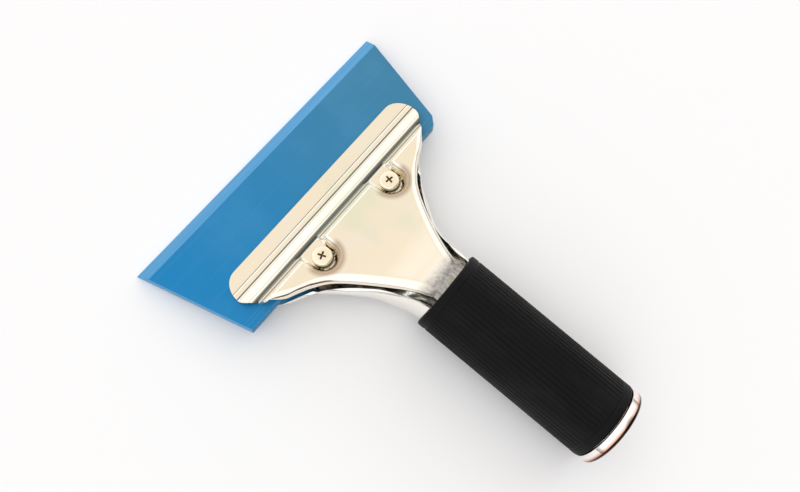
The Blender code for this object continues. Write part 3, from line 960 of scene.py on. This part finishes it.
@dataclass
class ClampPlate:
    """The upper jaw: lip, grooves, bead, valley, screw pockets, platform, and a tongue under the grip."""

    lip: float = 27.0
    half_width: float = 50.0
    lip_corner: float = 7.1
    corner_length: float = 8.5
    tongue_half_width: float = 8.2
    tail: float = 10.0
    grooves: tuple[Groove, ...] = (Groove(32.75, 0.42, 0.2), Groove(35.25, 0.85, 0.42))
    bead_front: float = 36.0
    bead_rear: float = 41.5
    bead_crest: float = 38.5
    bead_rise: float = 1.3
    platform_front: float = 42.4
    platform_foot: float = 41.4
    platform_shoulder: float = 44.6
    platform_rise: float = 3.6
    rim_drop: float = 3.0
    rim_drop_start: float = 6.0
    rim_width: float = 4.6
    tongue_blend: float = 6.0
    hole_length: float = 4.0
    pocket_half_width: float = 4.7
    pocket_rear: float = 5.4
    wall_fullness: float = 1.65
    pocket_foot: float = -0.5
    pocket_shoulder: float = 1.9
    outline: tuple[tuple[float, float], ...] = (
        (0, 0.83), (0.02, 0.9), (0.057, 0.957), (0.1, 0.99), (0.138, 1), (0.18, 0.976), (0.229, 0.914),
        (0.298, 0.81), (0.342, 0.733), (0.375, 0.635), (0.408, 0.545), (0.485, 0.4), (0.624, 0.25),
        (0.767, 0.127), (0.857, 0.062), (0.95, 0.012), (1, 0),
    )
    climb: tuple[tuple[float, float], ...] = (
        (0, 0), (0.3, 0.03), (0.52, 0.15), (0.78, 0.42), (0.9, 0.59), (1, 1),
    )

    def edge_at(self, behind: float) -> float:
        """Half the plate's width at a place behind the edge."""
        past = behind - self.lip
        if past < self.corner_length:
            left = 1 - past / self.corner_length
            return self.half_width - self.lip_corner * (1 - math.sqrt(max(1 - left * left, 0.0)))
        along = past / (JAWS.mouth - self.lip)
        narrow = self.tongue_half_width
        return narrow + (self.half_width - narrow) * smooth_through(self.outline, along)

    def pocket(self, across: float, behind: float) -> float:
        """1 inside a screw's pocket, which opens into the valley in front, 0 outside it."""
        sideways = abs(abs(across) - FASTENING.across)
        back = max(behind - FASTENING.behind - (self.pocket_rear - self.pocket_half_width), 0.0)
        out = math.hypot(sideways, back) - self.pocket_half_width
        return 1 - self.shoulder(out, self.pocket_foot, self.pocket_shoulder)

    def shoulder(self, at: float, foot: float, top: float) -> float:
        """Rises from 0 to 1, steeply at the foot of a pressed wall and softly at its shoulder."""
        share = min(max((at - foot) / (top - foot), 0.0), 1.0)
        return (1 - (1 - share) ** self.wall_fullness) * ease(share, -0.02, 0.12)

    def bead(self, behind: float) -> float:
        """Rise of the bead over the lip."""
        up = ease(behind, self.bead_front - 0.3, self.bead_crest + 0.7)
        down = min(max((self.bead_rear - behind) / (self.bead_rear - self.bead_crest), 0.0), 1.0)
        return self.bead_rise * up * math.sin(math.pi / 2 * down)

    def top(self, across: float, behind: float) -> float:
        """Height of the plate's upper surface over the blade's middle plane."""
        level = JAWS.outside + self.bead(behind) - sum(groove.dip(behind) for groove in self.grooves)
        if behind <= self.platform_foot:
            return level
        mouth_top = HANDLE.top_above(JAWS.mouth)
        low = JAWS.outside + self.platform_rise
        along = (behind - self.platform_front) / (JAWS.mouth - self.platform_front)
        platform = low + (mouth_top - low) * smooth_through(self.climb, along)
        if behind > JAWS.mouth:
            platform = HANDLE.top_above(behind)
        edge = self.edge_at(behind)
        rim = min(self.rim_width, edge)
        inward = min(max((edge - abs(across)) / rim, 0.0), 1.0)
        rolled = 1 - math.sqrt(max(1 - (1 - inward) ** 2, 0.0))
        start = self.platform_front
        pressed = rolled * self.rim_drop * ease(behind, start, start + self.rim_drop_start)
        radius = HANDLE.tube_radius
        on_tube = radius - math.sqrt(radius**2 - min(abs(across), radius) ** 2)
        near_mouth = ease(behind, JAWS.mouth - self.tongue_blend, JAWS.mouth)
        platform -= pressed * (1 - near_mouth) + on_tube * near_mouth
        front = self.shoulder(behind, self.platform_foot, self.platform_shoulder)
        return level + (platform - level) * front * (1 - self.pocket(across, behind))

    def rows(self) -> list[float]:
        """Places behind the edge of the mesh's rows, closest where the shape turns fastest."""
        first, second = self.grooves
        corner = [self.lip + 1.6 * (step / 8) ** 2 for step in range(8)]
        wall = self.platform_shoulder
        pocket_end = FASTENING.behind + self.pocket_rear + self.pocket_shoulder
        stops = [
            (self.lip + 1.6, first.behind - first.half_width, 9),
            (first.behind - first.half_width, first.behind + first.half_width, 10),
            (first.behind + first.half_width, second.behind - second.half_width, 4),
            (second.behind - second.half_width, self.bead_front, 13),
            (self.bead_front, self.bead_rear, 30),
            (self.bead_rear, wall, 26),
            (wall, pocket_end, 46),
            (pocket_end, JAWS.mouth, 64),
            (JAWS.mouth, JAWS.mouth + self.tail, 8),
        ]
        places = corner
        for start, end, count in stops:
            places += spread(start, end, count)
        return places + [JAWS.mouth + self.tail]

    def inner_columns(self) -> list[float]:
        """Distances from the middle of the columns inside the rim, closest at the pockets' walls."""
        near = FASTENING.across - self.pocket_half_width
        far = FASTENING.across + self.pocket_half_width
        foot, top = self.pocket_foot, self.pocket_shoulder
        stops = [(0.0, near - top, 14), (near - top, near - foot, 10), (near - foot, far + foot, 14),
                 (far + foot, far + top, 10)]
        return [place for stop in stops for place in spread(*stop)] + [far + top]

    def build(self) -> bpy.types.Object:
        """Builds the plate, drills it and rides it on the clamp."""
        rows = self.rows()
        inner = self.inner_columns()
        outer = 12
        rim_steps = 14
        half = len(inner) + outer + rim_steps - 1

        def place(row: int, column: int) -> Vector:
            """The position of one point of the plate's upper surface."""
            side = column - half
            index = abs(side)
            behind = rows[row]
            edge = self.edge_at(behind)
            rim = min(self.rim_width, edge / 3)
            reach = edge - rim
            squeeze = min(1.0, reach * 0.94 / inner[-1])
            if index < len(inner):
                across = inner[index] * squeeze
            elif index < len(inner) + outer:
                step = (index - len(inner) + 1) / outer
                across = inner[-1] * squeeze + (reach - inner[-1] * squeeze) * step
            else:
                step = (index - len(inner) - outer + 1) / rim_steps
                across = reach + rim * math.sin(step * math.pi / 2)
            across = min(across, edge)
            across = math.copysign(across, side) if side else 0.0
            return JAWS.point(across, behind, self.top(across, behind))

        bm = grid(len(rows), 2 * half + 1, place)
        face_upwards(bm)
        # The upper jaw's steel carries the painted dark reflection before the grip; the lower jaw's keeps the
        # default of none.
        piece = finished(bm, "upper_jaw", [SheetSteel(neck_depth=0.85).build()], sharp=50)
        thicken(piece)
        cut_away(piece, screw_drills(JAWS.outside, self.hole_length))
        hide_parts("clamp_plate")
        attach(piece, "clamp")
        return piece


@dataclass
class HandleBody:
    """The lower jaw, which narrows into the handle's tube, in one piece of sheet steel."""

    plate: ClampPlate
    inset: float = 0.5
    notch_gap: float = 3.0
    rim_inset: float = 2.4
    rim_inset_at_jaw: float = 0.25
    rim_rounding: float = 3.2
    wall_start: float = 0.8
    wall_end: float = 9.5
    wall_fullness: float = 0.8
    floor_drop_start: float = 6.0
    tube_blend: float = 28.0
    rim_climb: float = 14.0
    around: int = 176
    notch_step: float = 3.0
    notch_close: float = 0.5
    notch_far: float = 20.0
    hole_length: float = 4.0
    outline: tuple[tuple[float, float], ...] = (
        (0, 0.79), (0.02, 0.87), (0.057, 0.95), (0.1, 0.988), (0.138, 1), (0.18, 0.972), (0.229, 0.9),
        (0.298, 0.78), (0.342, 0.683), (0.391, 0.563), (0.473, 0.398), (0.604, 0.232), (0.718, 0.109),
        (0.816, 0.052), (0.9, 0.02), (1, 0),
    )

    def half_width(self, behind: float) -> float:
        """Half the body's width at a place behind the edge."""
        along = (behind - self.plate.lip) / (JAWS.mouth - self.plate.lip)
        wide = self.plate.half_width - self.inset
        return HANDLE.tube_radius + (wide - HANDLE.tube_radius) * smooth_through(self.outline, along)

    def section(self, behind: float, turn: float) -> Vector:
        """A point of the outer surface: turn runs from -1 at the left rim to 1 at the right one."""
        radius = HANDLE.tube_radius
        wide = self.half_width(behind)
        y = JAWS.point(0, behind, -JAWS.outside).y
        jaw_floor = JAWS.point(0, behind, -JAWS.outside).z
        dropped = ease(behind, JAWS.depth + self.floor_drop_start, JAWS.mouth)
        floor = jaw_floor + (HANDLE.axis_z - radius - jaw_floor) * dropped
        to_tube = ease(behind, JAWS.mouth - self.tube_blend, JAWS.mouth)
        mouth_inset = radius - self.plate.tongue_half_width - self.notch_gap
        curled = ease(behind, JAWS.depth + self.wall_end / 2, JAWS.depth + 2 * self.wall_end)
        curl = self.rim_inset * (self.rim_inset_at_jaw + (1 - self.rim_inset_at_jaw) * curled)
        inset = curl + (mouth_inset - curl) * to_tube
        rounding = self.rim_rounding + (radius - self.rim_rounding) * to_tube
        rim_turn = math.acos(1 - inset / rounding)
        edge_above = self.plate.top(self.plate.edge_at(behind), behind)
        tucked = JAWS.point(0, behind, edge_above).z - JAWS.sheet - 2 * JAWS.clearance
        at_mouth = HANDLE.axis_z + math.sqrt(radius**2 - (radius - mouth_inset) ** 2)
        rim_z = tucked + (at_mouth - tucked) * ease(behind, JAWS.mouth - self.rim_climb, JAWS.mouth)
        widest_z = rim_z - rounding * math.sin(rim_turn)
        corner = 1 + self.wall_fullness * (1 - to_tube)
        angle = abs(turn) * (math.pi / 2 + rim_turn) - math.pi / 2
        if angle < 0:
            across = wide * math.cos(angle) ** (1 / corner)
            z = widest_z - (widest_z - floor) * (-math.sin(angle)) ** (1 / corner)
        else:
            across = wide - rounding * (1 - math.cos(angle))
            z = widest_z + rounding * math.sin(angle)
        walled = ease(behind, JAWS.depth + self.wall_start, JAWS.depth + self.wall_end)
        across = wide * abs(turn) * (1 - walled) + across * walled
        z = jaw_floor * (1 - walled) + z * walled
        return Vector((math.copysign(across, turn) if turn else 0.0, y, z))

    def rows(self) -> list[float]:
        """Places behind the edge of the jaw's rows."""
        stops = [
            (self.plate.lip, self.plate.lip + 2, 6), (self.plate.lip + 2, JAWS.depth + self.wall_start, 16),
            (JAWS.depth + self.wall_start, JAWS.depth + self.wall_end, 26),
            (JAWS.depth + self.wall_end, JAWS.mouth, 60),
        ]
        return [place for stop in stops for place in spread(*stop)] + [JAWS.mouth]

    def build(self) -> bpy.types.Object:
        """Builds the body, drills it and rides it on the handle."""
        rows = self.rows()
        notch_rear = HANDLE.mouth_y - self.plate.tail - 3 * JAWS.clearance
        mouth_turn = math.pi - math.asin((self.plate.tongue_half_width + self.notch_gap) / HANDLE.tube_radius)
        tube = [
            (HANDLE.mouth_y - self.notch_step, mouth_turn), (notch_rear, mouth_turn),
            (notch_rear - self.notch_close, math.pi), (notch_rear - self.notch_far, math.pi),
            (HANDLE.rear_y + JAWS.clearance, math.pi),
        ]

        def place(row: int, column: int) -> Vector:
            """The position of one point of the body's outer surface."""
            turn = 2 * column / self.around - 1
            if row < len(rows):
                return self.section(rows[row], turn)
            y, sweep = tube[row - len(rows)]
            radius = HANDLE.tube_radius
            angle = turn * sweep
            return Vector((radius * math.sin(angle), y, HANDLE.axis_z - radius * math.cos(angle)))

        bm = grid(len(rows) + len(tube), self.around + 1, place)
        bmesh.ops.remove_doubles(bm, verts=bm.verts, dist=0.005)
        face_upwards(bm, up=False)
        steel = SheetSteel(name="tube_steel", warm=(0.9, 0.875, 0.82), cool=(0.88, 0.87, 0.85)).build()
        piece = finished(bm, "lower_jaw_and_tube", [steel], sharp=50)
        thicken(piece)
        cut_away(piece, screw_drills(-JAWS.outside, self.hole_length))
        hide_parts("handle_body")
        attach(piece, "handle")
        return piece


# ---------------------------------------------------------------- fasteners


@dataclass
class Fasteners:
    """Two cross-recess pan-head screws, and the hexagon nuts that they turn in."""

    head_height: float = 2.3
    head_rounding: float = 0.75
    crown: float = 0.25
    recess_span: float = 4.3
    recess_width: float = 0.85
    recess_depth: float = 1.5
    recess_taper: float = 0.5
    recess_turns: dict[Side, float] = field(
        default_factory=lambda: {Side.LEFT: math.radians(20), Side.RIGHT: math.radians(-12)}
    )
    nut_height: float = 2.4
    nut_flats: float = 6.0
    nut_chamfer: float = 0.5
    tip: float = 0.9
    pitch: float = 0.6
    thread: float = 0.28

    def screw_profile(self) -> list[tuple[float, float]]:
        """Half the screw's outline, from the middle of its head to its tip."""
        radius = FASTENING.head_radius
        shank = FASTENING.shank_radius
        below = -2 * JAWS.outside - 2 * JAWS.clearance - self.nut_height - self.tip
        rim = round_corner((0, self.head_height - self.crown), (radius, self.head_height - self.crown),
                           (radius, 0), self.head_rounding)
        shares = (0, 0.2, 0.4, 0.6)
        top = [(radius * share, self.head_height - self.crown * share * share) for share in shares]
        profile = top + rim + [(radius, 0.12), (radius - 0.12, 0.0), (shank, 0.0)]
        turns = int((-below - 0.5) / self.pitch)
        for index in range(turns):
            height = -0.3 - index * self.pitch
            profile += [(shank, height), (shank - self.thread, height - self.pitch / 2)]
        return profile + [(shank - self.thread, below + 0.3), (shank - 0.6, below), (0, below)]

    def recess(self, placement: Matrix) -> list[bmesh.types.BMesh]:
        """The two tapered wings of a screw's cross recess."""
        wings = []
        for turn in (0.0, math.pi / 2):
            bm = bmesh.new()
            bmesh.ops.create_cube(bm, size=1)
            size = (self.recess_span, self.recess_width, 2 * self.recess_depth)
            bmesh.ops.scale(bm, vec=size, verts=bm.verts)
            deep = [vertex for vertex in bm.verts if vertex.co.z < 0]
            bmesh.ops.scale(bm, vec=(self.recess_taper, 0.7, 1), verts=deep)
            bmesh.ops.transform(bm, matrix=placement @ Matrix.Rotation(turn, 4, "Z"), verts=bm.verts)
            # The cutter's faces carry the second finish, the recess's painted shade, into the screw's head.
            for face in bm.faces:
                face.material_index = 1
            wings.append(bm)
        return wings

    def build_screw(self, side: Side, plating: bpy.types.Material) -> bpy.types.Object:
        """Builds one screw and rides it on its body."""
        seat = JAWS.placement(side.value * FASTENING.across, FASTENING.behind, JAWS.outside + JAWS.clearance)
        bm = turned(self.screw_profile(), steps=72)
        bmesh.ops.transform(bm, matrix=seat, verts=bm.verts)
        piece = finished(bm, f"pan_head_screw_{side.word}", [plating, RecessShade().build()])
        turn = Matrix.Rotation(self.recess_turns[side], 4, "Z")
        top = seat @ Matrix.Translation((0, 0, self.head_height)) @ turn
        cut_away(piece, self.recess(top))
        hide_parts(f"screw_{side.word}")
        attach(piece, f"{side.word}_screw")
        return piece

    def build_nut(self, side: Side, plating: bpy.types.Material) -> bpy.types.Object:
        """Builds one nut, chamfered at both ends, and rides it on the handle."""
        corner = self.nut_flats / 2 / math.cos(math.pi / 6)
        middle = -JAWS.outside - JAWS.clearance - self.nut_height / 2
        seat = JAWS.placement(side.value * FASTENING.across, FASTENING.behind, middle)
        bm = bmesh.new()
        bmesh.ops.create_cone(
            bm, cap_ends=True, segments=6, radius1=corner, radius2=corner, depth=self.nut_height,
        )
        level = self.nut_height / 2
        rims = [edge for edge in bm.edges if abs(edge.verts[0].co.z - edge.verts[1].co.z) < level]
        bmesh.ops.bevel(
            bm, geom=rims, offset=self.nut_chamfer, segments=3, profile=0.5, affect="EDGES", material=-1,
        )
        bmesh.ops.transform(bm, matrix=seat, verts=bm.verts)
        piece = finished(bm, f"hexagon_nut_{side.word}", [plating])
        cut_away(piece, [drill(seat, FASTENING.shank_radius + 0.08, 2 * self.nut_height)])
        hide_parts(f"nut_{side.word}")
        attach(piece, "handle")
        return piece

    def build(self) -> list[bpy.types.Object]:
        """Builds both screws and both nuts."""
        plating = PlatedFastener().build()
        screws = [self.build_screw(side, plating) for side in Side]
        return screws + [self.build_nut(side, plating) for side in Side]


# ---------------------------------------------------------------- grip and cap


@dataclass
class Grip:
    """The rubber sleeve: fine ribs along it, and a plain band at each end."""

    ribs: int = 52
    rib_steps: int = 8
    rib_depth: float = 0.28
    band: float = 3.6
    fade: float = 0.7
    rounding: float = 0.8
    wall: float = 1.5
    ring_depth: float = 0.22
    ring_width: float = 0.28
    ring_inset: float = 0.2

    def groove(self, away: float) -> float:
        """Depth of the shallow ring between the ribs and a plain band, at a distance from its middle."""
        return self.ring_depth * math.exp(-(away / self.ring_width) ** 2)

    def radius(self, angle_share: float, along: float, length: float) -> float:
        """Outer radius at a share of one rib's pitch and a distance from the rear end."""
        outer = HANDLE.grip_radius
        crest = abs(math.sin(math.pi * angle_share)) ** 0.6
        ribbed = ease(along, self.band, self.band + self.fade)
        ribbed *= 1 - ease(along, length - self.band - self.fade, length - self.band)
        ring = self.groove(along - self.band + self.ring_inset)
        ring += self.groove(length - self.band + self.ring_inset - along)
        end = min(along, length - along)
        rounded = 0.0
        if end < self.rounding:
            rounded = self.rounding - math.sqrt(self.rounding**2 - (self.rounding - end) ** 2)
        return outer - self.rib_depth * (1 - crest) * ribbed - ring * (1 - ribbed) - rounded

    def build(self) -> bpy.types.Object:
        """Builds the sleeve and rides it on the handle."""
        length = HANDLE.mouth_y - HANDLE.rear_y
        end = [self.rounding * (1 - math.cos(step / 6 * math.pi / 2)) for step in range(6)]
        band = spread(self.rounding, self.band - 0.9, 3) + spread(self.band - 0.9, self.band + self.fade, 12)
        places = end + band
        middle = spread(self.band + self.fade, length - self.band - self.fade, 14)
        places = places + middle + [length - place for place in reversed(places)]
        columns = self.ribs * self.rib_steps

        def place(row: int, column: int) -> Vector:
            """The position of one point of the sleeve's outside."""
            along = places[row]
            angle = 2 * math.pi * column / columns
            radius = self.radius(column % self.rib_steps / self.rib_steps, along, length)
            return Vector((radius * math.sin(angle), radius * math.cos(angle), along))

        bm = grid(len(places), columns + 1, place)
        bmesh.ops.remove_doubles(bm, verts=bm.verts, dist=0.005)
        bore = HANDLE.grip_radius - self.wall
        rims = [edge for edge in bm.edges if edge.is_boundary]
        turned_in = bmesh.ops.extrude_edge_only(bm, edges=rims)["geom"]
        for vertex in (item for item in turned_in if isinstance(item, bmesh.types.BMVert)):
            vertex.co.xy = vertex.co.xy.normalized() * bore
        inner = [edge for edge in bm.edges if edge.is_boundary]
        bmesh.ops.bridge_loops(bm, edges=inner)
        bmesh.ops.recalc_face_normals(bm, faces=bm.faces)
        bmesh.ops.transform(bm, matrix=HANDLE.placement(HANDLE.rear_y), verts=bm.verts)
        piece = finished(bm, "ribbed_grip", [GripRubber().build()], sharp=60)
        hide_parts("grip_sleeve")
        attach(piece, "handle")
        return piece


@dataclass
class EndCap:
    """The bright cup that closes the tube, with a plug inside the tube."""

    length: float = 4.2
    rounding: float = 1.5
    lip: float = 0.4
    plug_length: float = 12.0
    wall: float = 1.6
    dish: float = 0.25
    dish_radius: float = 9.5

    def build(self) -> bpy.types.Object:
        """Builds the cap and rides it on the handle."""
        plug = HANDLE.tube_radius - JAWS.sheet - JAWS.clearance
        outer = HANDLE.grip_radius
        profile = [
            (0, self.wall), (plug - self.wall, self.wall),
            (plug - self.wall, self.length + self.plug_length), (plug, self.length + self.plug_length),
            (plug, self.length),
            *round_corner((plug, self.length), (outer, self.length), (outer, 0), self.lip, steps=5),
            *round_corner((outer, self.length), (outer, 0), (0, 0), self.rounding, steps=14),
            (self.dish_radius + 0.6, 0), (self.dish_radius, self.dish), (0, self.dish),
        ]
        bm = turned(profile, steps=144)
        bmesh.ops.transform(bm, matrix=HANDLE.placement(HANDLE.butt_y), verts=bm.verts)
        piece = finished(bm, "bright_end_cap", [BrightChrome().build()])
        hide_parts("end_cap")
        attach(piece, "handle")
        return piece


# ---------------------------------------------------------------- studio


@dataclass(frozen=True)
class SkyPatch:
    """A soft patch of the studio's dome.

    Attributes:
        towards: Direction of its middle.
        core: Angle in degrees within which it is full.
        reach: Angle in degrees at which it has faded out.
        colour: Its light.
    """

    towards: tuple[float, float, float]
    core: float
    reach: float
    colour: Colour


@dataclass
class Studio:
    """A pale floor under a soft dome, and a camera that looks down on the tool."""

    aim: tuple[float, float, float] = (1.8775, 17.4258, 15.6)
    distance: float = 287.137
    azimuth: float = -82.5111
    elevation: float = 72.0455
    roll: float = 32.48
    lens: float = 35.745
    sensor: float = 36.0
    floor_size: float = 6.0
    floor_colour: Colour = (0.95, 0.955, 0.965)
    dome_strength: float = 1.33
    zenith: Colour = (0.97, 0.965, 0.97)
    horizon: Colour = (0.30, 0.27, 0.24)
    horizon_top: float = 0.34
    patches: tuple[SkyPatch, ...] = (
        SkyPatch((0.31, 0.30, 0.90), 14, 28, (0.75, 0.69, 0.595)),
        SkyPatch((0.31, -0.70, 0.64), 20, 33, (0.16, 0.17, 0.16)),
        SkyPatch((0.20, 0.95, 0.20), 24, 44, (0.93, 0.92, 0.93)),
        SkyPatch((-0.45, -0.88, 0.12), 15, 30, (0.10, 0.055, 0.035)),
        SkyPatch((0.50, -0.86, 0.12), 15, 30, (0.10, 0.055, 0.035)),
    )

    def camera(self) -> bpy.types.Object:
        """Places the camera and makes it the scene's own."""
        data = bpy.data.cameras.new("camera")
        data.lens = self.lens
        data.sensor_width = self.sensor
        data.clip_start = 0.01
        made = bpy.data.objects.new("camera", data)
        azimuth, elevation = math.radians(self.azimuth), math.radians(self.elevation)
        back = Vector((
            math.sin(azimuth) * math.cos(elevation),
            -math.cos(azimuth) * math.cos(elevation),
            math.sin(elevation),
        ))
        made.location = (Vector(self.aim) + back * self.distance) * MM
        level = back.to_track_quat("Z", "Y").to_matrix()
        made.rotation_euler = (level @ Matrix.Rotation(math.radians(self.roll), 3, "Z")).to_euler()
        bpy.context.scene.collection.objects.link(made)
        bpy.context.scene.camera = made
        return made

    def floor(self) -> bpy.types.Object:
        """Lays the pale floor, which isn't part of the object."""
        bm = bmesh.new()
        bmesh.ops.create_grid(bm, x_segments=1, y_segments=1, size=self.floor_size / 2 / MM)
        paint = NodePainter("floor")
        made = finished(bm, "floor", [paint.finish(Base_Color=(*self.floor_colour, 1), Roughness=0.9)])
        return made

    def dome(self) -> bpy.types.World:
        """Lights the scene with a dome that is bright overhead and dark at the horizon."""
        world = bpy.data.worlds.new("studio_dome")
        world.use_nodes = True
        tree = world.node_tree
        background = tree.nodes["Background"]
        direction = tree.nodes.new("ShaderNodeTexCoord").outputs["Generated"]
        split = tree.nodes.new("ShaderNodeSeparateXYZ")
        tree.links.new(direction, split.inputs[0])
        colour = self.mixed(tree, split.outputs["Z"], 0.0, self.horizon_top, self.horizon, self.zenith)
        for patch in self.patches:
            dot = tree.nodes.new("ShaderNodeVectorMath")
            dot.operation = "DOT_PRODUCT"
            tree.links.new(direction, dot.inputs[0])
            dot.inputs[1].default_value = Vector(patch.towards).normalized()
            fade, full = math.cos(math.radians(patch.reach)), math.cos(math.radians(patch.core))
            colour = self.mixed(tree, dot.outputs["Value"], fade, full, colour, patch.colour)
        tree.links.new(colour, background.inputs["Color"])
        background.inputs["Strength"].default_value = self.dome_strength
        bpy.context.scene.world = world
        return world

    def mixed(self, tree: bpy.types.NodeTree, value: bpy.types.NodeSocket, low: float, high: float,
              first: object, second: Colour) -> bpy.types.NodeSocket:
        """Mixes from a first colour at low to a second one at high.

        Args:
            tree: The world's nodes.
            value: What the mix follows.
            low: Where the first colour ends.
            high: Where the second colour is full.
            first: A colour or a colour socket.
            second: A colour.

        Returns:
            The mixed colour's socket.
        """
        share = tree.nodes.new("ShaderNodeMapRange")
        share.interpolation_type = "SMOOTHSTEP"
        tree.links.new(value, share.inputs["Value"])
        share.inputs["From Min"].default_value = low
        share.inputs["From Max"].default_value = high
        mix = tree.nodes.new("ShaderNodeMix")
        mix.data_type = "RGBA"
        tree.links.new(share.outputs[0], mix.inputs[0])
        if isinstance(first, tuple):
            mix.inputs[6].default_value = (*first, 1)
        else:
            tree.links.new(first, mix.inputs[6])
        mix.inputs[7].default_value = (*second, 1)
        return mix.outputs[2]

    def build(self) -> None:
        """Builds the camera, the floor and the light."""
        self.camera()
        self.floor()
        self.dome()
        bpy.context.scene.view_settings.view_transform = "Standard"


def main() -> None:
    """Builds the studio and every piece, in the order that the tool is put together."""
    logging.basicConfig(level=logging.INFO, format="%(message)s")
    Studio().build()
    plate = ClampPlate()
    pieces = [Blade().build(), plate.build(), HandleBody(plate).build()]
    pieces += Fasteners().build()
    pieces += [Grip().build(), EndCap().build()]
    for piece in pieces:
        report(piece)


if __name__ == "__main__":
    main()
